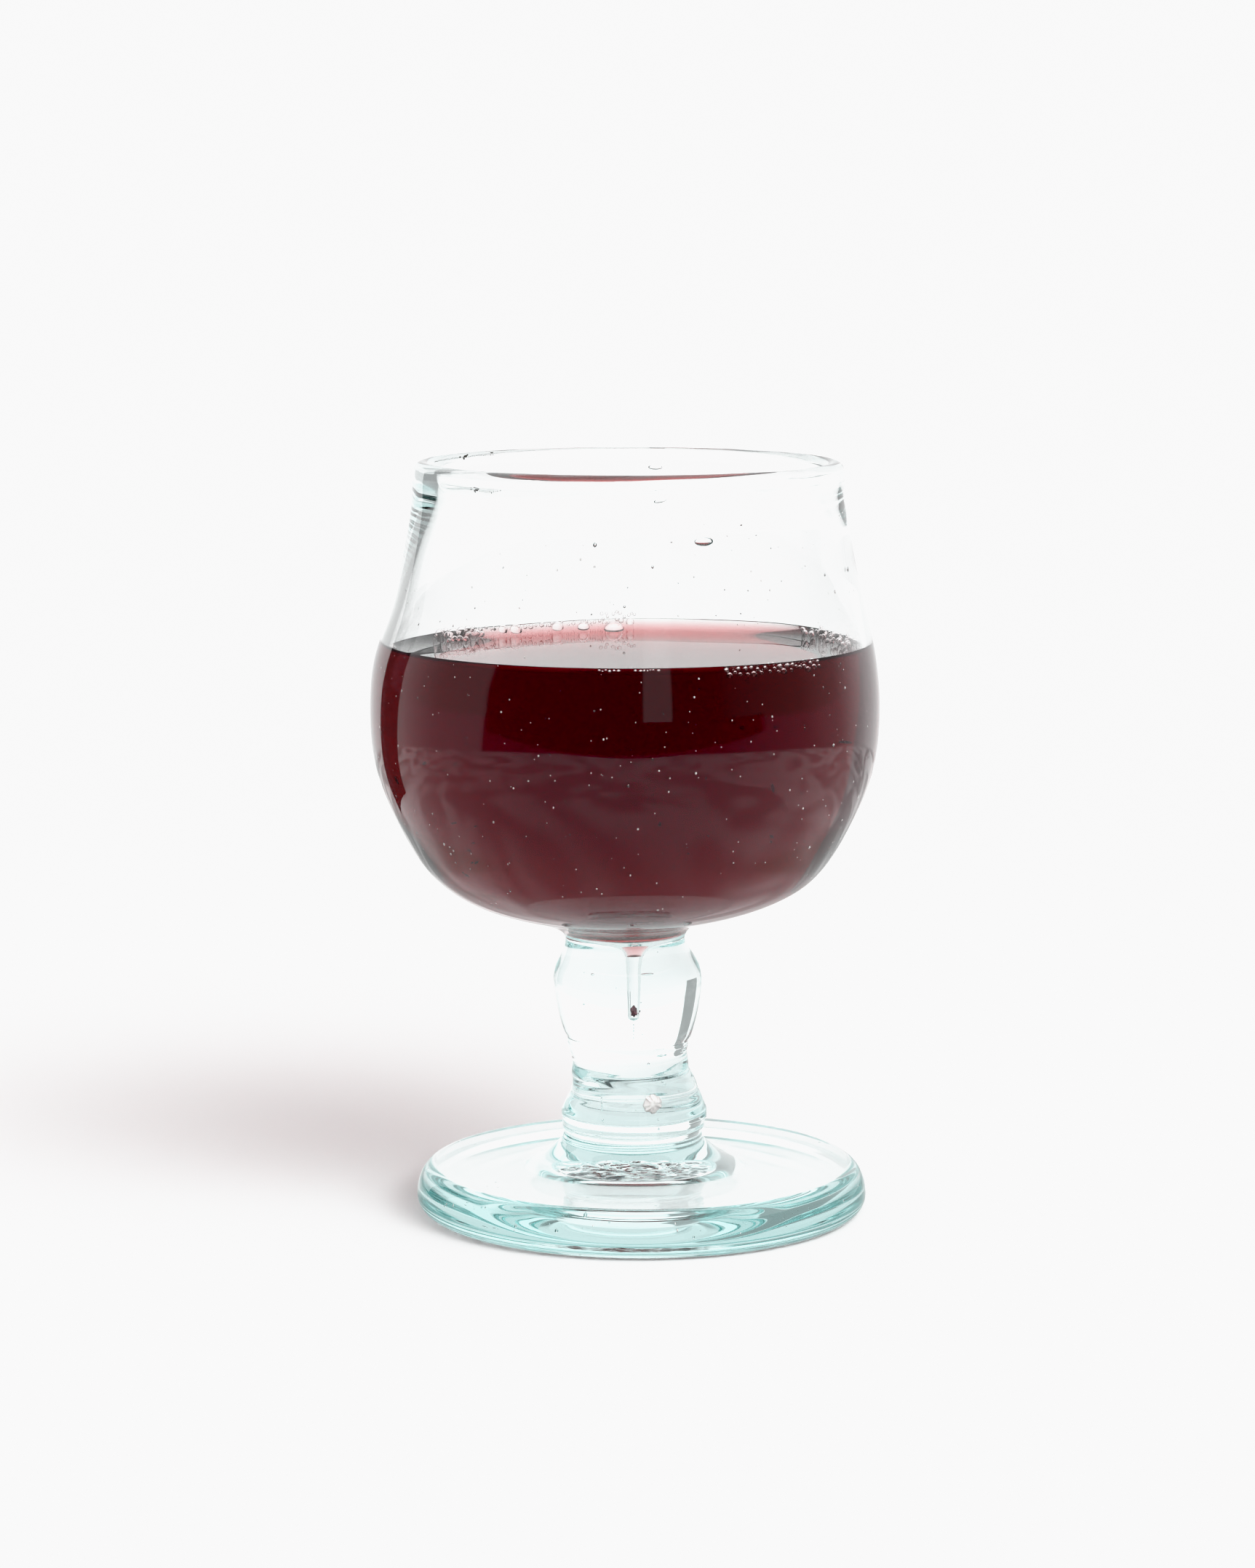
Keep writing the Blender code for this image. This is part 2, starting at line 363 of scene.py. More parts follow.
def folds(angle, height):
    """How far the pressed folds move the lower stem's surface outwards."""
    total = 0.0
    for middle, depth, half_width, rise, turn in STEM_FOLDS:
        off = height - middle - rise * math.cos(angle - math.radians(turn))
        total += depth * math.exp(-(off / half_width) ** 2)
    return total


def scar_move(point):
    """How a point under the foot strays: the dish is oval, off the middle and crumpled."""
    radius = math.hypot(point.x, point.y)
    middle_x = eased(radius, ((PONTIL_RADIUS, PONTIL_MIDDLE_X), (FOOT_FLAT_RADIUS, FOOT_MIDDLE_X)))
    squash = eased(radius, ((PONTIL_RADIUS, PONTIL_SQUASH), (SQUASH_END, 1.0)))
    move = Vector((middle_x, point.y * (squash - 1.0), 0.0))
    if radius < PONTIL_RADIUS:
        fade = min(1.0, (PONTIL_RADIUS - radius) / SCAR_FADE)
        flat = Vector((point.x, point.y, 0.0))
        rough = noise.fractal(flat / SCAR_GRAIN, SCAR_FALL_OFF, FINER_STEP, FINER_STEPS)
        move.z = max(SCAR_LOWEST - point.z, SCAR_DEPTH * rough * fade)
    return move


def blow(body):
    """Leans each level as the hand-made glass leans, and gives every face its waves and folds."""
    wetted = body.verts.layers.float.new("wetted")
    body.normal_update()
    moves = []
    for vertex in body.verts:
        x, y, height = vertex.co
        radius = math.hypot(x, y)
        angle = math.atan2(y, x)
        in_reach = height > CHANNEL_END - 2.0 * CHANNEL_END_DEPTH
        inside = in_reach and radius < bore_radius(height) + CLOSE
        move = Vector((0.0, 0.0, 0.0))
        if inside:
            vertex[wetted] = 1.0 if FUNNEL_TOP < height < WETTED_TOP else 0.0
            move.x = eased(height, BORE_MIDDLE)
            if BOWL_FLOOR_START < height < HEIGHT - BORE_WAVE_END:
                move += vertex.normal * wave(vertex.co, BORE_WAVE, 3.0) * BORE_WAVE_DEPTH
            lip_wave = LIP_WAVE_DEPTH * eased(height, LIP_WAVE_FADES)
            move += vertex.normal * wave(vertex.co, LIP_WAVE, 5.0) * lip_wave
        elif height > JOINT_HEIGHT:
            move.x = eased(height, OUTSIDE_MIDDLE)
            if height < HEIGHT - OUTSIDE_WAVE_END:
                move += vertex.normal * wave(vertex.co, OUTSIDE_WAVE, 7.0) * OUTSIDE_WAVE_DEPTH
            if height < BOWL_FLOOR_START:
                move += vertex.normal * folds(angle, height)
        elif height < FOOT_BOTTOM_ROUNDING:
            move = scar_move(vertex.co)
        else:
            move.x = eased(radius, ((JOINT_RADIUS, JOINT_MIDDLE_X), (FOOT_FLAT_RADIUS, FOOT_MIDDLE_X)))
            fade = eased(radius, ((JOINT_RADIUS, 0.0), (FOOT_WAVE_FULL, 1.0)))
            fade_start = FOOT_FLAT_RADIUS - FOOT_WAVE_FADE
            fade *= eased(radius, ((fade_start, 1.0), (FOOT_RADIUS - FOOT_WAVE_FADE, 0.0)))
            move.z = (wave(vertex.co, FOOT_WAVE, 11.0) - FOOT_SAG) * FOOT_WAVE_DEPTH * fade
        moves.append(move)
    for vertex, move in zip(body.verts, moves):
        vertex.co += move


# Bubbles caught in the glass
# Recycled glass is full of seeds: air bubbles as fine as dust, drawn out a little where the wall
# was stretched. They are hollows, so their faces look into the air inside them.
SEEDS = random.Random(20)
SEED_MIDDLE_SIZE = 0.15
SEED_SPREAD = 0.42
SEED_LARGEST = 0.36

# For bowl, foot and stem: how many seeds, how deep under the outside, and how high
BOWL_SEEDS = 120
BOWL_SEED_COVER = 0.35
BOWL_SEED_DEEPER = 0.7
BOWL_SEED_STRETCH = (1.0, 1.5)
LOW_SEED_SHARE = 0.78
LOW_SEED_HEIGHTS = (58.0, 97.0)
HIGH_SEED_HEIGHTS = (97.0, 121.0)
FOOT_SEEDS = 42
FOOT_SEED_COVER = 1.6
FOOT_SEED_DEEPER = 14.0
FOOT_SEED_HEIGHTS = (3.0, 5.5)
STEM_SEEDS = 30
STEM_SEED_COVER = 0.8
STEM_SEED_REACH = (0.55, 1.0)
STEM_SEED_HEIGHTS = (12.0, 46.0)
STEM_SEED_SIZE = 0.8

# Single bubbles that stand out: x, y and z of the middle, and the half widths along x, y and z
LARGE_BUBBLES = (
    (12.6, -34.55, 117.4, 1.60, 0.35, 0.72),
    (36.2, -11.2, 110.7, 0.42, 0.40, 0.50),
    (5.4, 34.6, 124.6, 1.30, 0.35, 0.45),
    (-5.4, -11.2, 42.6, 0.32, 0.18, 0.20),
    (3.7, -11.5, 42.7, 1.20, 0.22, 0.20),
    (-3.9, -10.3, 20.2, 0.20, 0.20, 1.45),
)

# The row of tiny bubbles that goes on below the channel: height and half width
CHANNEL_TAIL = ((33.5, 0.13), (33.0, 0.10), (32.55, 0.12), (32.0, 0.08), (31.4, 0.09))
TAIL_STRETCH = 1.3


def add_pebble(body, place, half_widths, detail, turn=0.0):
    """One bubble, grain, crumb or mark: an ellipsoid with those half widths. Returns its points."""
    turned_place = Matrix.Translation(place) @ Matrix.Rotation(turn, 4, "Z")
    matrix = turned_place @ Matrix.Diagonal((*half_widths, 1.0))
    return bmesh.ops.create_icosphere(body, subdivisions=detail, radius=1.0, matrix=matrix)["verts"]


def seed_size():
    size = SEEDS.lognormvariate(math.log(SEED_MIDDLE_SIZE), SEED_SPREAD)
    return min(size, SEED_LARGEST)


outside_by_height = sorted((height, radius) for radius, height in smooth_line(OUTSIDE))
outside_heights = [height for height, radius in outside_by_height]
outside_radii = [radius for height, radius in outside_by_height]


def outside_radius(height):
    return float(np.interp(height, outside_heights, outside_radii))


def add_seeds(body):
    """Fine seeds all round the bowl's wall, in the foot and in the stem."""
    for i in range(BOWL_SEEDS):
        low = SEEDS.random() < LOW_SEED_SHARE
        height = SEEDS.uniform(*(LOW_SEED_HEIGHTS if low else HIGH_SEED_HEIGHTS))
        angle = SEEDS.uniform(0.0, math.tau)
        size = seed_size()
        depth = BOWL_SEED_COVER + size + SEEDS.uniform(0.0, BOWL_SEED_DEEPER)
        radius = outside_radius(height) - depth
        x = radius * math.cos(angle) + eased(height, OUTSIDE_MIDDLE)
        tall = size * SEEDS.uniform(*BOWL_SEED_STRETCH)
        add_pebble(body, (x, radius * math.sin(angle), height), (size, size, tall), 1)
    for i in range(FOOT_SEEDS):
        radius = FOOT_RADIUS - FOOT_SEED_COVER - FOOT_SEED_DEEPER * SEEDS.random() ** 2
        angle = SEEDS.uniform(0.0, math.tau)
        size = seed_size()
        x = radius * math.cos(angle) + FOOT_MIDDLE_X
        height = SEEDS.uniform(*FOOT_SEED_HEIGHTS)
        add_pebble(body, (x, radius * math.sin(angle), height), (size, size, size), 1)
    for i in range(STEM_SEEDS):
        height = SEEDS.uniform(*STEM_SEED_HEIGHTS)
        angle = SEEDS.uniform(0.0, math.tau)
        radius = (outside_radius(height) - STEM_SEED_COVER) * SEEDS.uniform(*STEM_SEED_REACH)
        size = seed_size() * STEM_SEED_SIZE
        x = radius * math.cos(angle) + eased(height, OUTSIDE_MIDDLE)
        add_pebble(body, (x, radius * math.sin(angle), height), (size, size, size), 1)


def linear(hex_colour):
    """A linear colour from an sRGB hex value."""
    channels = [int(hex_colour[i:i + 2], 16) / 255.0 for i in (0, 2, 4)]
    return [c / 12.92 if c <= 0.04045 else ((c + 0.055) / 1.055) ** 2.4 for c in channels] + [1.0]


def add_node(tree, kind, links=None, values=None, **settings):
    """One node with its settings, its plain values and what feeds its inputs."""
    node = tree.nodes.new(kind)
    for name, value in settings.items():
        setattr(node, name, value)
    for socket, value in (values or {}).items():
        node.inputs[socket].default_value = value
    for socket, source in (links or {}).items():
        tree.links.new(source, node.inputs[socket])
    return node


def fresh_material(name):
    material = bpy.data.materials.new(name)
    material.use_nodes = True
    material.node_tree.nodes.clear()
    return material


# Blown soda-lime glass melted from bottles. Iron tints it a faint aqua that only shows where
# light travels far inside, as in the foot's edge. Where wine wets the bore only a little red
# comes back from it.
GLASS_IOR = 1.52
GLASS_TINT = "95E4E2"
GLASS_TINT_DENSITY = 10.0
WET_MIRROR = "AA0059"


def wet_mirror(tree):
    """The tint of a mirror image: plain on a dry face, deep red where wine wets it."""
    wet = add_node(tree, "ShaderNodeAttribute", attribute_name="wetted").outputs["Fac"]
    tint = add_node(tree, "ShaderNodeMix", {"Factor": wet}, data_type="RGBA")
    tint.inputs["A"].default_value = linear("FFFFFF")
    tint.inputs["B"].default_value = linear(WET_MIRROR)
    return tint.outputs["Result"]


def clear_material(name, ior, tint, density):
    """A clear, polished substance, tinted by how far light travels inside it."""
    material = fresh_material(name)
    tree = material.node_tree
    shader = add_node(
        tree,
        "ShaderNodeBsdfPrincipled",
        {"Specular Tint": wet_mirror(tree)},
        {
            "Base Color": linear("FFFFFF"),
            "Roughness": 0.0,
            "IOR": ior,
            "Transmission Weight": 1.0,
        },
    )
    inner_tint = add_node(
        tree,
        "ShaderNodeVolumeAbsorption",
        values={"Color": linear(tint), "Density": density},
    )
    add_node(
        tree,
        "ShaderNodeOutputMaterial",
        {"Surface": shader.outputs[0], "Volume": inner_tint.outputs[0]},
    )
    return material


def finished_piece(name, body, material):
    """A shaded object from a bmesh in millimetres."""
    bmesh.ops.scale(body, vec=(MM, MM, MM), verts=body.verts)
    mesh = bpy.data.meshes.new(name)
    body.to_mesh(mesh)
    body.free()
    mesh.shade_smooth()
    mesh.materials.append(material)
    piece = bpy.data.objects.new(name, mesh)
    bpy.context.scene.collection.objects.link(piece)
    return piece


hollows = bmesh.new()
add_seeds(hollows)
for bubble in LARGE_BUBBLES:
    x, y = bubble[0], bubble[1]
    facing = math.atan2(y, x) + math.pi / 2.0
    add_pebble(hollows, bubble[:3], bubble[3:], 3, facing)
for height, size in CHANNEL_TAIL:
    add_pebble(hollows, (CHANNEL_MIDDLE_X, 0.0, height), (size, size, size * TAIL_STRETCH), 1)
bmesh.ops.reverse_faces(hollows, faces=hollows.faces)
hollow_mesh = bpy.data.meshes.new("hollows")
hollows.to_mesh(hollow_mesh)
hollows.free()
goblet_body = turned(glass_profile())
blow(goblet_body)
goblet_body.from_mesh(hollow_mesh)
bpy.data.meshes.remove(hollow_mesh)
soda_lime_glass = clear_material("recycled_soda_lime_glass", GLASS_IOR, GLASS_TINT, GLASS_TINT_DENSITY)
goblet = finished_piece("blown_goblet", goblet_body, soda_lime_glass)
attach(goblet, "root")
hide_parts("glass")


# Grains in the glass
# Bottle glass that is melted in a small pot keeps fine white grains that did not melt, frozen
# into the wall just under its outer face. One flake in the lower stem is as wide as a lentil and
# creased from its middle.
GRAINS = random.Random(31)
GRAIN_MIDDLE_SIZE = 0.105
GRAIN_SPREAD = 0.40
GRAIN_LARGEST = 0.26
GRAIN_STRETCH = (0.8, 1.5)

# For bowl and foot: how many grains, how deep under the outside, and how high
BOWL_GRAINS = 560
BOWL_GRAIN_COVER = 0.08
LOW_GRAIN_HEIGHTS = (56.0, 96.0)
HIGH_GRAIN_HEIGHTS = (96.0, 120.0)
FOOT_GRAINS = 40
FOOT_GRAIN_COVER = 1.2
FOOT_GRAIN_DEEPER = 4.0
FOOT_GRAIN_HEIGHTS = (2.2, 5.6)

# The flake: where, how wide, how far it is turned, and the creases that run out from its middle
FLAKE_PLACE = (4.6, -9.9, 20.1)
FLAKE_HALF_WIDTHS = (1.7, 0.45, 1.75)
FLAKE_TURN = 22.0
FLAKE_CREASES = 7
FLAKE_CREASE_DEPTH = 0.45
FLAKE_CREASE_BEND = 1.3
FLAKE_CREASE_TWIST = 3.0
FLAKE_CREASE_END = 1.3
FLAKE_NOTCH = 0.14

# Quartz and chalk dust that stayed whole in the melt: matt white
GRAIN_WHITE = "F6F0EE"
GRAIN_ROUGHNESS = 0.8


def matt_material(name, colour, roughness):
    """A matt substance of one colour."""
    material = fresh_material(name)
    tree = material.node_tree
    shader = add_node(
        tree,
        "ShaderNodeBsdfPrincipled",
        values={"Base Color": linear(colour), "Roughness": roughness},
    )
    add_node(tree, "ShaderNodeOutputMaterial", {"Surface": shader.outputs[0]})
    return material


grain_body = bmesh.new()
for i in range(BOWL_GRAINS + FOOT_GRAINS):
    size = min(GRAINS.lognormvariate(math.log(GRAIN_MIDDLE_SIZE), GRAIN_SPREAD), GRAIN_LARGEST)
    angle = GRAINS.uniform(0.0, math.tau)
    if i < BOWL_GRAINS:
        low = GRAINS.random() < LOW_SEED_SHARE
        height = GRAINS.uniform(*(LOW_GRAIN_HEIGHTS if low else HIGH_GRAIN_HEIGHTS))
        radius = outside_radius(height) - size - BOWL_GRAIN_COVER
        middle_x = eased(height, OUTSIDE_MIDDLE)
    else:
        height = GRAINS.uniform(*FOOT_GRAIN_HEIGHTS)
        radius = FOOT_RADIUS - FOOT_GRAIN_COVER - FOOT_GRAIN_DEEPER * GRAINS.random()
        middle_x = FOOT_MIDDLE_X
    place = (radius * math.cos(angle) + middle_x, radius * math.sin(angle), height)
    half_widths = (size, size, size * GRAINS.uniform(*GRAIN_STRETCH))
    add_pebble(grain_body, place, half_widths, 1)
flake_middle = Vector(FLAKE_PLACE)
for vertex in add_pebble(grain_body, FLAKE_PLACE, FLAKE_HALF_WIDTHS, 4, math.radians(FLAKE_TURN)):
    out = vertex.co - flake_middle
    share = math.hypot(out.x, out.z) / FLAKE_HALF_WIDTHS[0]
    bend = FLAKE_CREASE_BEND * math.sin(FLAKE_CREASE_TWIST * out.z + out.x)
    crease = math.cos(FLAKE_CREASES * math.atan2(out.z, out.x) + bend)
    vertex.co.y += FLAKE_CREASE_DEPTH * crease * share * (FLAKE_CREASE_END - share)
    pull = 1.0 - FLAKE_NOTCH * max(0.0, crease) * share
    vertex.co.x = flake_middle.x + out.x * pull
    vertex.co.z = flake_middle.z + out.z * pull
grain_white = matt_material("unmelted_grain", GRAIN_WHITE, GRAIN_ROUGHNESS)
grains = finished_piece("unmelted_grains", grain_body, grain_white)
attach(grains, "root")


# The ash in the scar
# Grey ash and glass dust from the iron's end stay in the rough dish under the foot, a thin crumbly
# layer that clings to the glass. Its flecks are drawn far coarser than real dust, so that they show.
ASH_RADIUS = 10.9
ASH_COVER = 0.10
ASH_THICKNESS = 0.06
ASH_LOWEST = 0.02
ASH_GRAIN = 2.6


def scar_ash():
    """Wood ash and glass dust: matt, from white to mid grey in flecks."""
    material = fresh_material("scar_ash")
    tree = material.node_tree
    place = add_node(tree, "ShaderNodeTexCoord")
    flecks = add_node(
        tree,
        "ShaderNodeTexNoise",
        {"Vector": place.outputs["Object"]},
        {"Scale": 1.0 / (ASH_GRAIN * MM), "Detail": 4.0, "Distortion": 0.8},
    )
    share = add_node(
        tree,
        "ShaderNodeMapRange",
        {"Value": flecks.outputs["Fac"]},
        {"From Min": 0.42, "From Max": 0.60},
        interpolation_type="SMOOTHSTEP",
    )
    colour = add_node(tree, "ShaderNodeMix", {"Factor": share.outputs["Result"]}, data_type="RGBA")
    colour.inputs["A"].default_value = linear("83888B")
    colour.inputs["B"].default_value = linear("F4F6F6")
    shader = add_node(
        tree,
        "ShaderNodeBsdfPrincipled",
        {"Base Color": colour.outputs["Result"]},
        {"Roughness": 0.6},
    )
    add_node(tree, "ShaderNodeOutputMaterial", {"Surface": shader.outputs[0]})
    return material


ash_radii = np.linspace(0.0, ASH_RADIUS, PONTIL_STEPS)
ash_top = [(radius, scar_height(radius) - ASH_COVER) for radius in ash_radii]
ash_bottom = [(radius, height - ASH_THICKNESS) for radius, height in reversed(ash_top)]
ash_body = turned(ash_top + ash_bottom)
for vertex in ash_body.verts:
    move = scar_move(vertex.co)
    move.z = max(move.z, ASH_LOWEST - vertex.co.z)
    vertex.co += move
ash = finished_piece("scar_ash", ash_body, scar_ash())
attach(ash, "root")


# The wine
# Red wine stands two thirds up the bowl, creeps up the wall all round, and runs into the mouth of
# the channel, where air stops it. It reaches a hair into the glass, so that no air shows between.
WINE_LEVEL = 95.5
WINE_CREEP = 2.0
CREEP_LENGTH = 2.1
CREEP_START = 12.0
CREEP_DISTANCES = (11.0, 0.1)
CREEP_STEPS = 26
FLAT_STEPS = 12
WINE_END = 42.8
WINE_END_HOLLOW = 0.25
WINE_END_STEPS = 5
WALL_OVERLAP = 0.15
CHANNEL_OVERLAP = 0.05
OVERLAP_SHRINKS = (CHANNEL_MOUTH - 2.0, FUNNEL_TOP)


def creep(distance):
    """How far the wine stands above its level, by the distance from its edge."""
    return WINE_CREEP * math.exp(-distance / CREEP_LENGTH)


def overlap(height):
    """How far the wine reaches into the glass, as a move away from the axis."""
    return -np.interp(height, OVERLAP_SHRINKS, (CHANNEL_OVERLAP, WALL_OVERLAP))


def wine_profile():
    """From the middle of the surface out to its edge, then down the side to the channel."""
    edge = WINE_LEVEL + WINE_CREEP
    side = [point for point in moved_in(bore_line(), overlap) if WINE_END < point[1] < edge]
    edge_radius = bore_radius(edge) + WALL_OVERLAP
    flat_radii = np.linspace(0.0, edge_radius - CREEP_START, FLAT_STEPS)
    surface = [(radius, WINE_LEVEL) for radius in flat_radii]
    for distance in np.geomspace(*CREEP_DISTANCES, CREEP_STEPS):
        surface.append((edge_radius - distance, WINE_LEVEL + creep(distance)))
    end_radius = side[-1][0]
    end = []
    for share in np.linspace(1.0, 0.0, WINE_END_STEPS):
        end.append((end_radius * share, WINE_END + WINE_END_HOLLOW * (1.0 - share)))
    return surface + [(edge_radius, edge)] + side + end


# The froth
# Pouring leaves bubbles that gather at the wine's edge: a film of wine round air. They sit on the
# creeping edge, singly along the back and in clusters at the ends and at the front right.
FROTH = random.Random(8)
THINNEST_FILM = 0.06
FILM_SHARE = 0.055
FROTH_JITTER = 0.4
FROTH_CLOSEST = 0.93
SMALL_BIAS = 1.8
WALL_BIAS = 1.5
LARGE_SIZE = 1.4
MIDDLE_SIZE = 0.6

# Each arc of the edge, by angles clockwise from the back: first and last angle, how many, the
# smallest and largest radius, how far in from the wall they may sit, and how low and how high
# their middles sit on the creeping edge
FROTH_ARCS = (
    (-58.0, -44.0, 46, 0.35, 0.80, 2.6, 0.0, 0.9),
    (-43.0, 1.5, 60, 0.26, 0.50, 0.5, -0.1, 0.3),
    (-7.0, 2.5, 16, 0.26, 0.42, 0.4, 0.3, 1.7),
    (54.0, 88.0, 64, 0.32, 0.70, 2.4, 0.0, 0.9),
    (129.0, 156.5, 200, 0.42, 0.68, 0.05, -1.3, -0.2),
    (129.0, 156.5, 30, 0.26, 0.44, 0.9, 0.0, 0.2),
    (172.5, 178.5, 22, 0.24, 0.40, 0.1, -0.4, 0.1),
    (181.5, 187.0, 22, 0.24, 0.40, 0.1, -0.4, 0.1),
    (259.0, 267.0, 8, 0.25, 0.45, 0.5, 0.0, 0.3),
)

# Bubbles that stand out along the back: angle, radius, and how high the middle sits
LARGE_FROTH = (
    (-52.5, 1.15, 0.2),
    (-49.0, 0.85, 0.4),
    (-34.5, 0.90, 0.0),
    (-30.7, 1.15, -0.1),
    (-18.8, 1.15, -0.2),
    (-11.5, 1.25, -0.6),
    (-3.2, 2.00, -1.0),
    (1.0, 0.75, 0.0),
    (62.0, 0.95, 0.2),
    (70.0, 1.05, 0.2),
)


def froth_places():
    """Middle and radius of each bubble, none of them deep inside another."""
    edge_radius = bore_radius(WINE_LEVEL + WINE_CREEP)
    places = []

    def place(angle, size, inset, lift):
        distance = size + inset
        radius = edge_radius - distance
        height = WINE_LEVEL + creep(distance) + lift
        x = radius * math.sin(math.radians(angle)) + eased(height, BORE_MIDDLE)
        y = radius * math.cos(math.radians(angle))
        middle = Vector((x, y, height))
        for other, other_size in places:
            if (other - middle).length < FROTH_CLOSEST * (size + other_size):
                return
        places.append((middle, size))

    for angle, size, lift in LARGE_FROTH:
        place(angle, size, 0.0, lift)
    for start, end, count, smallest, largest, reach, low, high in FROTH_ARCS:
        for i in range(count):
            step = i + 0.5 + FROTH.uniform(-FROTH_JITTER, FROTH_JITTER)
            angle = start + (end - start) * step / count
            size = smallest + (largest - smallest) * FROTH.random() ** SMALL_BIAS
            inset = reach * FROTH.random() ** WALL_BIAS
            place(angle, size, inset, FROTH.uniform(low, high))
    return places


def froth_object(name, places, hollow):
    """All bubbles of the froth as one loose mesh, to be joined to the wine or cut from it."""
    body = bmesh.new()
    for middle, size in places:
        detail = 2
        if size > MIDDLE_SIZE:
            detail = 3
        if size > LARGE_SIZE:
            detail = 4
        film = THINNEST_FILM + FILM_SHARE * size if hollow else 0.0
        matrix = Matrix.Translation(middle)
        bmesh.ops.create_icosphere(body, subdivisions=detail, radius=size - film, matrix=matrix)
    bmesh.ops.scale(body, vec=(MM, MM, MM), verts=body.verts)
    mesh = bpy.data.meshes.new(name)
    body.to_mesh(mesh)
    body.free()
    bubbles = bpy.data.objects.new(name, mesh)
    bpy.context.scene.collection.objects.link(bubbles)
    return bubbles


def combine(piece, other, operation):
    """One Boolean with the other object, which is then removed."""
    joint = piece.modifiers.new(operation.lower(), "BOOLEAN")
    joint.operation = operation
    joint.object = other
    joint.solver = "MANIFOLD"
    bpy.context.view_layer.update()
    combined = piece.evaluated_get(bpy.context.evaluated_depsgraph_get())
    result = bpy.data.meshes.new_from_object(combined)
    piece.modifiers.clear()
    piece.data = result
    bpy.data.objects.remove(other)


# Young red wine: a clear dark red drink that lets only red through once it is deep, and pales to
# pink where it is a few millimetres thin. Its side lies in the glass and mirrors nothing there.
WINE_IOR = 1.34
WINE_TINT = "EE8A8D"
WINE_TINT_DENSITY = 311.0
SIDE_MARGIN = 0.04
SHARP_ANGLE = 50.0

wine_body = turned(wine_profile())
for vertex in wine_body.verts:
    vertex.co.x += eased(vertex.co.z, BORE_MIDDLE)
young_wine = clear_material("young_red_wine", WINE_IOR, WINE_TINT, WINE_TINT_DENSITY)
wine = finished_piece("red_wine", wine_body, young_wine)
bubbles = froth_places()
combine(wine, froth_object("froth_outside", bubbles, False), "UNION")
combine(wine, froth_object("froth_inside", bubbles, True), "DIFFERENCE")
wine.data.name = "red_wine"
wetted_side = wine.data.attributes.new("wetted", "FLOAT", "POINT")
for i, vertex in enumerate(wine.data.vertices):
    x, y, height = vertex.co / MM
    radius = math.hypot(x - eased(height, BORE_MIDDLE), y)
    on_side = height > FUNNEL_TOP and radius > bore_radius(height) + SIDE_MARGIN
    wetted_side.data[i].value = 1.0 if on_side else 0.0
wine.data.shade_smooth()
wine.data.set_sharp_from_angle(angle=math.radians(SHARP_ANGLE))
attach(wine, "root")
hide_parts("wine")


# The dregs
# A crumb of dried wine and cork sits where the channel ends, too narrow for it to fall further.
CRUMB_PLACE = (1.2, 0.0, 35.6)
CRUMB_HALF_WIDTHS = (0.56, 0.50, 0.80)
CRUMB_GRAIN = 0.45
CRUMB_ROUGHNESS = 0.45
BLOTCH_GRAIN = 0.35


def dried_dregs():
    """Dried wine and cork dust: a dull, dark maroon crumb, blotched where it is thicker."""
    material = fresh_material("dried_dregs")
    tree = material.node_tree
    place = add_node(tree, "ShaderNodeTexCoord")
    blotch = add_node(
        tree,
        "ShaderNodeTexNoise",
        {"Vector": place.outputs["Object"]},
        {"Scale": 1.0 / (BLOTCH_GRAIN * MM), "Detail": 3.0},
    )
    colour = add_node(
        tree,
        "ShaderNodeMix",
        {"Factor": blotch.outputs["Fac"]},
        data_type="RGBA",
    )
    colour.inputs["A"].default_value = linear("2A0A12")
    colour.inputs["B"].default_value = linear("7A3444")
    shader = add_node(
        tree,
        "ShaderNodeBsdfPrincipled",
        {"Base Color": colour.outputs["Result"]},
        {"Roughness": 0.7},
    )
    add_node(tree, "ShaderNodeOutputMaterial", {"Surface": shader.outputs[0]})
    return material


crumb_body = bmesh.new()
for vertex in add_pebble(crumb_body, CRUMB_PLACE, CRUMB_HALF_WIDTHS, 4):
    out = vertex.co - Vector(CRUMB_PLACE)
    rough = noise.fractal(vertex.co / CRUMB_GRAIN, 1.0, FINER_STEP, FINER_STEPS)
    vertex.co += out * CRUMB_ROUGHNESS * rough
crumb = finished_piece("dregs_crumb", crumb_body, dried_dregs())
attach(crumb, "root")


# The marks on the lip
# Specks of scale from the iron tools, pressed into the soft lip: a dotted line with a smudge at
# the back left, two dashes at the front right and a speck at the front left.
MARKS = random.Random(5)
MARK_HEIGHT = 127.4
MARK_RADIUS = 33.15
MARK_HALF_DEPTH = 0.06
DOT_ANGLES = range(-80, -44)
DOT_STRAYS = 0.06
DOT_HALF_LENGTHS = (0.06, 0.14)
DOT_HALF_WIDTH = 0.07

# Angle clockwise from the back, height above the line, and half widths along and across the rim
SMUDGES = (
    (-57.6, 0.10, 0.55, 0.22),
    (-58.6, -0.25, 0.30, 0.28),
    (-56.6, 0.30, 0.25, 0.14),
    (-60.5, 0.05, 0.22, 0.16),
    (-45.5, 0.35, 0.40, 0.10),
    (149.0, 0.08, 0.12, 0.45),
    (146.2, 0.08, 0.14, 0.45),
    (-127.0, 0.30, 0.30, 0.12),
)

# Black iron oxide, dull and a little brown
SCALE_BLACK = "2B2620"
SCALE_ROUGHNESS = 0.7

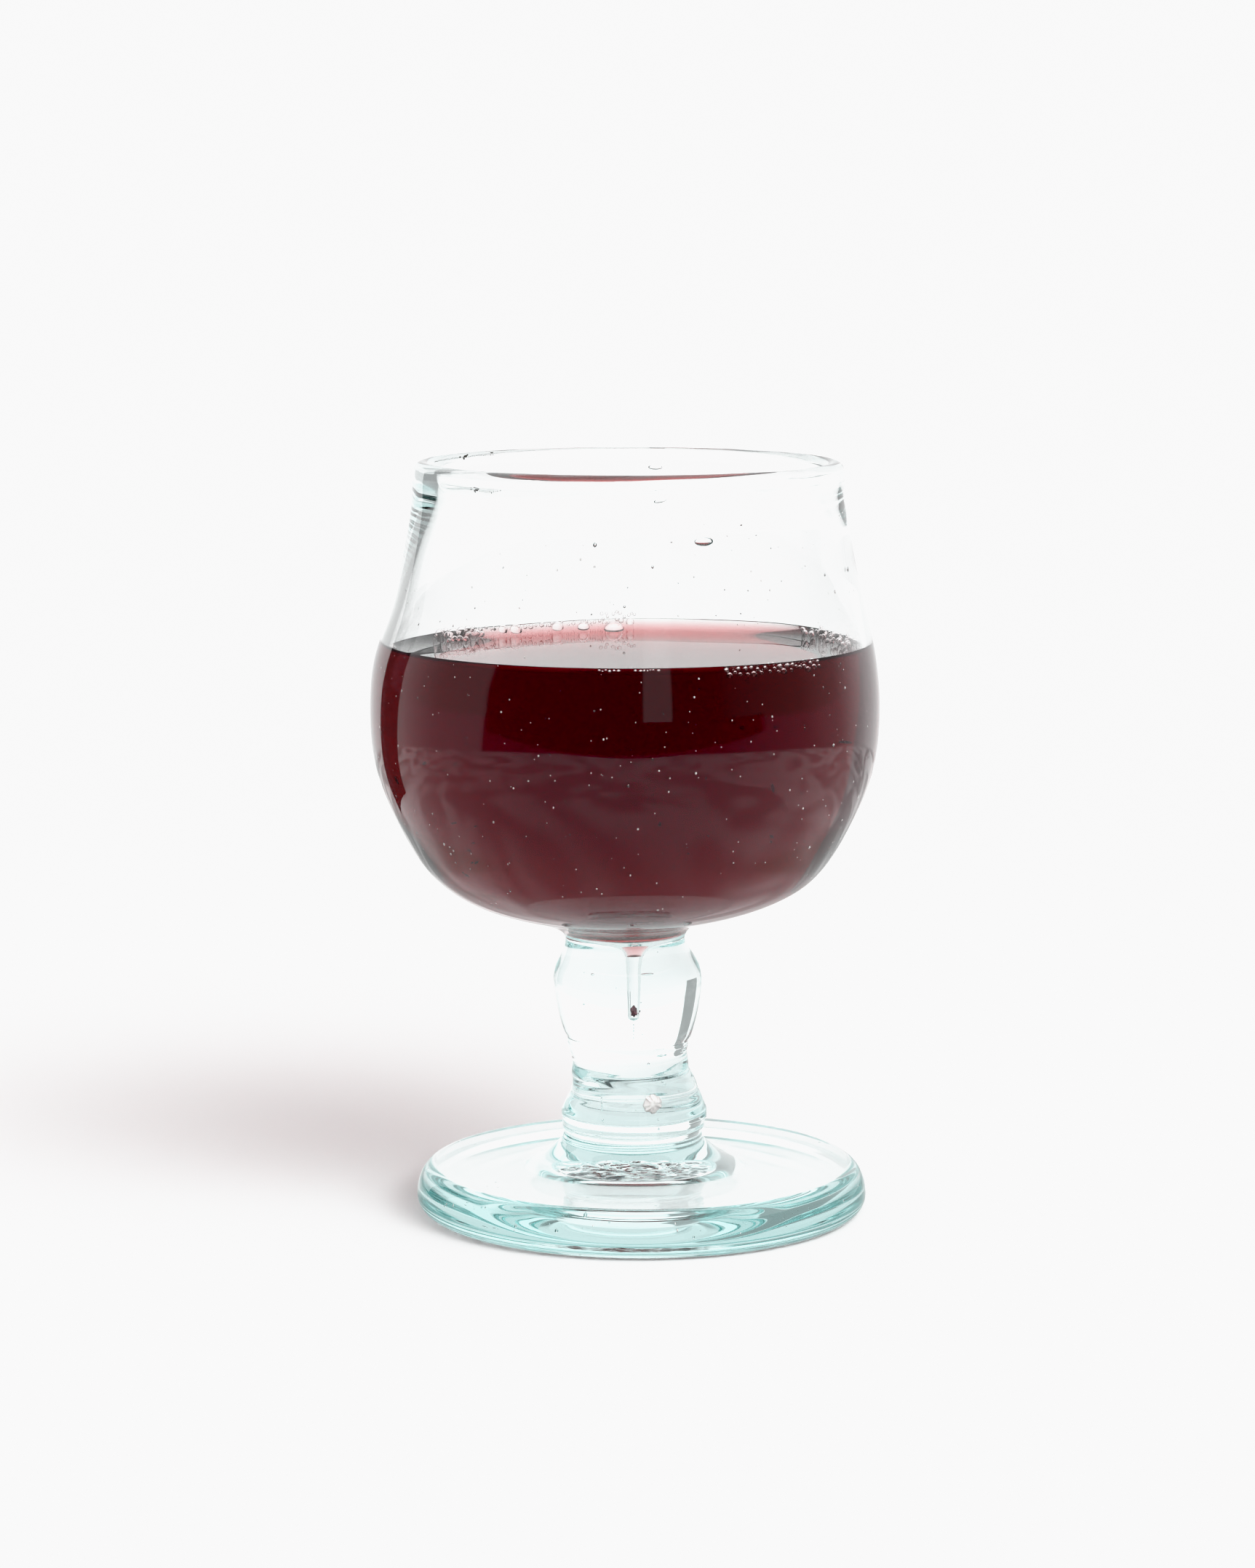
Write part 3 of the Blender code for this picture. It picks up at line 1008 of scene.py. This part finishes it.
mark_body = bmesh.new()
dots = []
for angle in DOT_ANGLES:
    stray = MARKS.uniform(-DOT_STRAYS, DOT_STRAYS)
    dots.append((angle, stray, MARKS.uniform(*DOT_HALF_LENGTHS), DOT_HALF_WIDTH))
for angle, rise, along, across in dots + list(SMUDGES):
    turn = math.radians(angle)
    x = MARK_RADIUS * math.sin(turn) + eased(MARK_HEIGHT, OUTSIDE_MIDDLE)
    place = (x, MARK_RADIUS * math.cos(turn), MARK_HEIGHT + rise)
    add_pebble(mark_body, place, (along, MARK_HALF_DEPTH, across), 2, -turn)
iron_scale = matt_material("iron_scale", SCALE_BLACK, SCALE_ROUGHNESS)
marks = finished_piece("lip_marks", mark_body, iron_scale)
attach(marks, "root")


# The studio
# A white table top in a white tent, lit by a large soft light at the front right. The room before
# the table is dark, and a dark gap stands between two panels behind it at the left. Only mirrored
# light shows the room, and light from inside the glass sees both the room and the gap fainter.
WHITE_LEVEL = 1.3
BEHIND_LEVEL = 1.5
ROOM_HALF_ANGLE = 64.0
ROOM_TOP = 32.0
ROOM_TOP_SOFTNESS = 2.0
TABLE_EDGE_Y = -0.41
GAP_MIDDLE = -130.0
GAP_HALF_ANGLE = 10.0
INNER_GAP_MIDDLE = -150.0
INNER_GAP_SPREAD = 1.5
GAP_TOP = 36.0
GAP_NEAR = 0.205
GAP_MIRROR_LEVEL = 0.02
GAP_LEVEL = 0.42
INNER_ROOM = 0.16
PANEL_FOOT = 0.45
PANEL_FOOT_SOFTNESS = 0.02
FAR = 100.0
STRAIGHT_DOWN = -90.0
STRIP_FROM = 8.3
STRIP_TO = 20.9
STRIP_LEVEL = 0.40

# How bright each side of the tent looks in a mirror, by the angle from the camera's side
TENT_LEVELS = (
    (-180.0, 1.2),
    (-141.0, 1.2),
    (-122.0, 0.8),
    (-108.0, 0.58),
    (-92.0, 0.38),
    (-65.0, 0.42),
    (-63.5, 0.0),
    (43.0, 0.0),
    (50.0, 0.04),
    (64.0, 0.09),
    (85.0, 0.16),
    (96.0, 0.28),
    (109.0, 0.40),
    (124.0, 0.9),
    (136.0, 1.2),
    (180.0, 1.2),
)

# The same for the table top, as painted reflection levels: it shows dimmer in the glass than to
# the camera
TABLE_LEVELS = (
    (-180.0, 1.1),
    (-110.0, 0.85),
    (-80.0, 0.52),
    (-40.0, 0.38),
    (35.0, 0.46),
    (60.0, 0.58),
    (85.0, 0.78),
    (180.0, 1.1),
)
# Size of the soft lighter and darker patches of painted reflection and shade in the table's mirror
# image
MIRRORED_PATCH_SIZE = 0.11
INNER_LEVEL = 0.95
# The share of the table seen through the glass that is painted glow: white light in place of the shade
# that the foot casts on it
PAINTED_GLOW_UNDER_GLASS = 0.58


def calculate(tree, operation, one, other=None, third=None):
    """The result of one Math node, from outputs or plain numbers."""
    links = {}
    values = {}
    for i, value in enumerate((one, other, third)):
        if isinstance(value, (int, float)):
            values[i] = value
        elif value is not None:
            links[i] = value
    return add_node(tree, "ShaderNodeMath", links, values, operation=operation).outputs[0]


def between(tree, value, low, high, softness=0.7):
    """1 where the value lies between the two, with soft ends."""
    rise = add_node(
        tree,
        "ShaderNodeMapRange",
        {"Value": value},
        {"From Min": low - softness, "From Max": low + softness},
        interpolation_type="SMOOTHSTEP",
    )
    fall = add_node(
        tree,
        "ShaderNodeMapRange",
        {"Value": value},
        {"From Min": high - softness, "From Max": high + softness, "To Min": 1.0, "To Max": 0.0},
        interpolation_type="SMOOTHSTEP",
    )
    return calculate(tree, "MULTIPLY", rise.outputs[0], fall.outputs[0])


def blended(tree, share, one, other):
    """One level turned into another by a share."""
    mix = add_node(tree, "ShaderNodeMix", data_type="FLOAT")
    for socket, value in (("Factor", share), ("A", one), ("B", other)):
        if isinstance(value, (int, float)):
            mix.inputs[socket].default_value = value
        else:
            tree.links.new(value, mix.inputs[socket])
    return mix.outputs["Result"]


def level_by_azimuth(tree, azimuth, stations):
    """A level read between (azimuth, level) stations."""
    turn = calculate(tree, "MULTIPLY_ADD", azimuth, 1.0 / 360.0, 0.5)
    ramp = add_node(tree, "ShaderNodeValToRGB", {"Fac": turn})
    stops = ramp.color_ramp.elements
    while len(stops) < len(stations):
        stops.new(0.5)
    for stop, (angle, level) in zip(stops, stations):
        stop.position = (angle + 180.0) / 360.0
        stop.color = (level, level, level, 1.0)
    return ramp.outputs["Color"]


def azimuth_of(tree, x, y):
    """The angle from the camera's side in degrees, positive to the right."""
    toward_camera = calculate(tree, "MULTIPLY", y, -1.0)
    return calculate(tree, "DEGREES", calculate(tree, "ARCTAN2", x, toward_camera))


def mirrored_tent(tree, azimuth, passed):
    """What a mirror shows at the level of the table; inside the glass the room is less dark."""
    level = level_by_azimuth(tree, azimuth, TENT_LEVELS)
    level = blended(tree, between(tree, azimuth, STRIP_FROM, STRIP_TO), level, STRIP_LEVEL)
    return calculate(tree, "MAXIMUM", level, calculate(tree, "MULTIPLY", passed, INNER_ROOM))


# The table: matt white laminate, burnt out to plain white away from the glass. Seen through the
# glass, a share of it is painted glow, white light in place of the shade under the foot. Mirrors
# show it by painted reflection levels and patches, not as it is lit.
TABLE_DROP = 0.0002
TABLE_HALF_WIDTH = 6.0
LIT_FROM = 0.20
LIT_TO = 0.55
LAMINATE_WHITE = "E7E7E7"


def table_white():
    material = fresh_material("table_white")
    tree = material.node_tree
    place = add_node(tree, "ShaderNodeTexCoord").outputs["Object"]
    parts = add_node(tree, "ShaderNodeSeparateXYZ", {0: place})
    ray = add_node(tree, "ShaderNodeLightPath")
    distance = add_node(tree, "ShaderNodeVectorMath", {0: place}, operation="LENGTH").outputs["Value"]
    azimuth = azimuth_of(tree, parts.outputs["X"], parts.outputs["Y"])
    # Painted reflection and shade: patches that brighten and darken the table's mirror image only
    painted_reflection_patches = add_node(
        tree,
        "ShaderNodeTexNoise",
        {"Vector": place},
        {"Scale": 1.0 / MIRRORED_PATCH_SIZE, "Detail": 1.5, "Distortion": 1.6},
    )
    painted_reflection_level = add_node(
        tree,
        "ShaderNodeMapRange",
        {"Value": painted_reflection_patches.outputs["Fac"]},
        {"From Min": 0.38, "From Max": 0.62, "To Min": 0.72, "To Max": 1.30},
        interpolation_type="SMOOTHSTEP",
    )
    near_level = level_by_azimuth(tree, azimuth, TABLE_LEVELS)
    near_level = calculate(tree, "MULTIPLY", near_level, painted_reflection_level.outputs[0])
    far_share = between(tree, distance, PANEL_FOOT, FAR, PANEL_FOOT_SOFTNESS)
    unscattered = calculate(tree, "LESS_THAN", ray.outputs["Diffuse Depth"], 0.5)
    passed = calculate(tree, "GREATER_THAN", ray.outputs["Transmission Depth"], 0.5)
    mirrored = calculate(tree, "GREATER_THAN", ray.outputs["Glossy Depth"], 0.5)
    near_level = blended(tree, passed, near_level, INNER_LEVEL)
    far_level = blended(tree, passed, mirrored_tent(tree, azimuth, passed), INNER_LEVEL)
    mirror_level = blended(tree, far_share, near_level, far_level)
    room_share = calculate(
        tree,
        "MULTIPLY",
        between(tree, azimuth, -ROOM_HALF_ANGLE, ROOM_HALF_ANGLE),
        calculate(tree, "LESS_THAN", parts.outputs["Y"], TABLE_EDGE_Y),
    )
    room_level = calculate(tree, "MULTIPLY", passed, INNER_ROOM)
    mirror_level = blended(tree, room_share, mirror_level, room_level)
    gap_share = calculate(
        tree,
        "MULTIPLY",
        between(tree, azimuth, GAP_MIDDLE - GAP_HALF_ANGLE, GAP_MIDDLE + GAP_HALF_ANGLE),
        calculate(tree, "GREATER_THAN", distance, GAP_NEAR),
    )
    # Away from the glass the table burns out to the backdrop's white; under the glass a share of it is
    # painted glow, plain white light in place of the foot's shade
    lit_middle = (LIT_FROM + LIT_TO) / 2.0
    burnt_and_glow_share = between(tree, distance, lit_middle, FAR, (LIT_TO - LIT_FROM) / 2.0)
    painted_glow_share = calculate(tree, "MULTIPLY", calculate(tree, "MULTIPLY", passed, unscattered), PAINTED_GLOW_UNDER_GLASS)
    burnt_and_glow_share = calculate(tree, "MAXIMUM", burnt_and_glow_share, painted_glow_share)
    matt = add_node(tree, "ShaderNodeBsdfDiffuse", values={"Color": linear(LAMINATE_WHITE)})
    # White emission: the burnt-out backdrop, and under the glass the painted glow
    burnt = add_node(tree, "ShaderNodeEmission", values={"Strength": WHITE_LEVEL})
    direct = add_node(
        tree,
        "ShaderNodeMixShader",
        {0: burnt_and_glow_share, 1: matt.outputs[0], 2: burnt.outputs[0]},
    )
    in_mirror = add_node(tree, "ShaderNodeEmission", {"Strength": mirror_level})
    mirror_seen = calculate(tree, "MULTIPLY", mirrored, unscattered)
    shown = add_node(
        tree,
        "ShaderNodeMixShader",
        {0: mirror_seen, 1: direct.outputs[0], 2: in_mirror.outputs[0]},
    )
    gap_level = blended(tree, passed, GAP_MIRROR_LEVEL, GAP_LEVEL)
    dark = add_node(tree, "ShaderNodeEmission", {"Strength": gap_level})
    gap_seen = calculate(tree, "MULTIPLY", calculate(tree, "MAXIMUM", mirrored, passed), unscattered)
    gap_seen = calculate(tree, "MULTIPLY", gap_share, gap_seen)
    whole = add_node(
        tree,
        "ShaderNodeMixShader",
        {0: gap_seen, 1: shown.outputs[0], 2: dark.outputs[0]},
    )
    add_node(tree, "ShaderNodeOutputMaterial", {"Surface": whole.outputs[0]})
    return material


table_body = bmesh.new()
bmesh.ops.create_grid(
    table_body,
    x_segments=1,
    y_segments=1,
    size=TABLE_HALF_WIDTH,
    matrix=Matrix.Translation((0.0, 0.0, -TABLE_DROP)),
)
table_mesh = bpy.data.meshes.new("table")
table_body.to_mesh(table_mesh)
table_body.free()
table_mesh.materials.append(table_white())
table = bpy.data.objects.new("table", table_mesh)
bpy.context.scene.collection.objects.link(table)


# The tent: what lights the table, and what the glass mirrors, told apart by the kind of ray
AMBIENT = 0.54
AMBIENT_COLOUR = "FFEAEB"
KEY_COLOUR = "F6FFFF"
KEY_AZIMUTH = 38.0
KEY_ELEVATION = 35.0
KEY_WIDTH = 24.0
KEY_HEIGHT = 13.0
KEY_STRENGTH = 12.8

world = bpy.data.worlds.new("white_tent")
bpy.context.scene.world = world
world.use_nodes = True
world.cycles.sampling_method = "NONE"
tent = world.node_tree
tent.nodes.clear()
direction = add_node(tent, "ShaderNodeTexCoord").outputs["Generated"]
direction_parts = add_node(tent, "ShaderNodeSeparateXYZ", {0: direction})
ray = add_node(tent, "ShaderNodeLightPath")
azimuth = azimuth_of(tent, direction_parts.outputs["X"], direction_parts.outputs["Y"])
elevation = calculate(tent, "DEGREES", calculate(tent, "ARCSINE", direction_parts.outputs["Z"]))
mirrored = calculate(tent, "GREATER_THAN", ray.outputs["Glossy Depth"], 0.5)
passed = calculate(tent, "GREATER_THAN", ray.outputs["Transmission Depth"], 0.5)
scattered = calculate(tent, "GREATER_THAN", ray.outputs["Diffuse Depth"], 0.5)

low_share = between(tent, elevation, STRAIGHT_DOWN, ROOM_TOP, ROOM_TOP_SOFTNESS)
low_share = calculate(tent, "MULTIPLY", low_share, mirrored)
level = blended(tent, low_share, BEHIND_LEVEL, mirrored_tent(tent, azimuth, passed))
off_gap = calculate(tent, "SUBTRACT", azimuth, GAP_MIDDLE)
off_inner_gap = calculate(tent, "SUBTRACT", azimuth, INNER_GAP_MIDDLE)
off_inner_gap = calculate(tent, "DIVIDE", off_inner_gap, INNER_GAP_SPREAD)
mirrored_inside = calculate(tent, "MULTIPLY", mirrored, passed)
off_gap = blended(tent, mirrored_inside, off_gap, off_inner_gap)
gap_share = calculate(
    tent,
    "MULTIPLY",
    between(tent, off_gap, -GAP_HALF_ANGLE, GAP_HALF_ANGLE),
    between(tent, elevation, STRAIGHT_DOWN, GAP_TOP),
)
level = blended(tent, gap_share, level, blended(tent, passed, GAP_MIRROR_LEVEL, GAP_LEVEL))
across = calculate(tent, "DIVIDE", calculate(tent, "SUBTRACT", azimuth, KEY_AZIMUTH), KEY_WIDTH)
up = calculate(tent, "DIVIDE", calculate(tent, "SUBTRACT", elevation, KEY_ELEVATION), KEY_HEIGHT)
away = calculate(
    tent,
    "ADD",
    calculate(tent, "MULTIPLY", across, across),
    calculate(tent, "MULTIPLY", up, up),
)
lobe = calculate(tent, "EXPONENT", calculate(tent, "MULTIPLY", away, -0.5))
lighting = calculate(tent, "MULTIPLY_ADD", lobe, KEY_STRENGTH, AMBIENT)
key_share = calculate(tent, "DIVIDE", calculate(tent, "MULTIPLY", lobe, KEY_STRENGTH), lighting)
light_colour = add_node(tent, "ShaderNodeMix", {"Factor": key_share}, data_type="RGBA")
light_colour.inputs["A"].default_value = linear(AMBIENT_COLOUR)
light_colour.inputs["B"].default_value = linear(KEY_COLOUR)
level = blended(tent, scattered, level, lighting)
level = blended(tent, ray.outputs["Is Camera Ray"], level, WHITE_LEVEL)
shown_colour = add_node(tent, "ShaderNodeMix", {"Factor": scattered}, data_type="RGBA")
shown_colour.inputs["A"].default_value = linear("FFFFFF")
tent.links.new(light_colour.outputs["Result"], shown_colour.inputs["B"])
background = add_node(
    tent,
    "ShaderNodeBackground",
    {"Color": shown_colour.outputs["Result"], "Strength": level},
)
add_node(tent, "ShaderNodeOutputWorld", {"Surface": background.outputs[0]})


# The camera
# A long lens a little above the rim looks down past it to the foot, as the photograph was taken.
CAMERA_PLACE = (0.45 * MM, -732.0 * MM, 178.35 * MM)
CAMERA_TILT = 81.83
LENS = 100.3

camera_data = bpy.data.cameras.new("camera")
camera_data.lens = LENS
camera_data.sensor_width = 36.0
camera_data.clip_start = 0.01
camera = bpy.data.objects.new("camera", camera_data)
camera.location = CAMERA_PLACE
camera.rotation_euler = (math.radians(CAMERA_TILT), 0.0, 0.0)
bpy.context.scene.collection.objects.link(camera)
bpy.context.scene.camera = camera


# The picture: light passes many clear faces, and the brightest tones roll off to the paper white
BOUNCES = 64
BRIGHTEST = 1.2
PAPER_WHITE = 0.947

# Each tone below the brightest, and how light it comes out
ROLL_OFF = (
    (0.30, 0.30),
    (0.60, 0.60),
    (0.80, 0.79),
    (0.90, 0.87),
    (1.00, 0.922),
    (1.10, 0.944),
)

scene = bpy.context.scene
scene.cycles.max_bounces = BOUNCES
scene.cycles.transmission_bounces = BOUNCES
scene.cycles.glossy_bounces = BOUNCES
scene.cycles.use_denoising = True
scene.view_settings.view_transform = "Standard"
scene.view_settings.look = "None"
scene.view_settings.use_curve_mapping = True
mapping = scene.view_settings.curve_mapping
mapping.white_level = (BRIGHTEST, BRIGHTEST, BRIGHTEST)
all_channels = mapping.curves[3]
all_channels.points[1].location = (1.0, PAPER_WHITE)
for light_in, light_out in ROLL_OFF:
    all_channels.points.new(light_in / BRIGHTEST, light_out)
mapping.update()
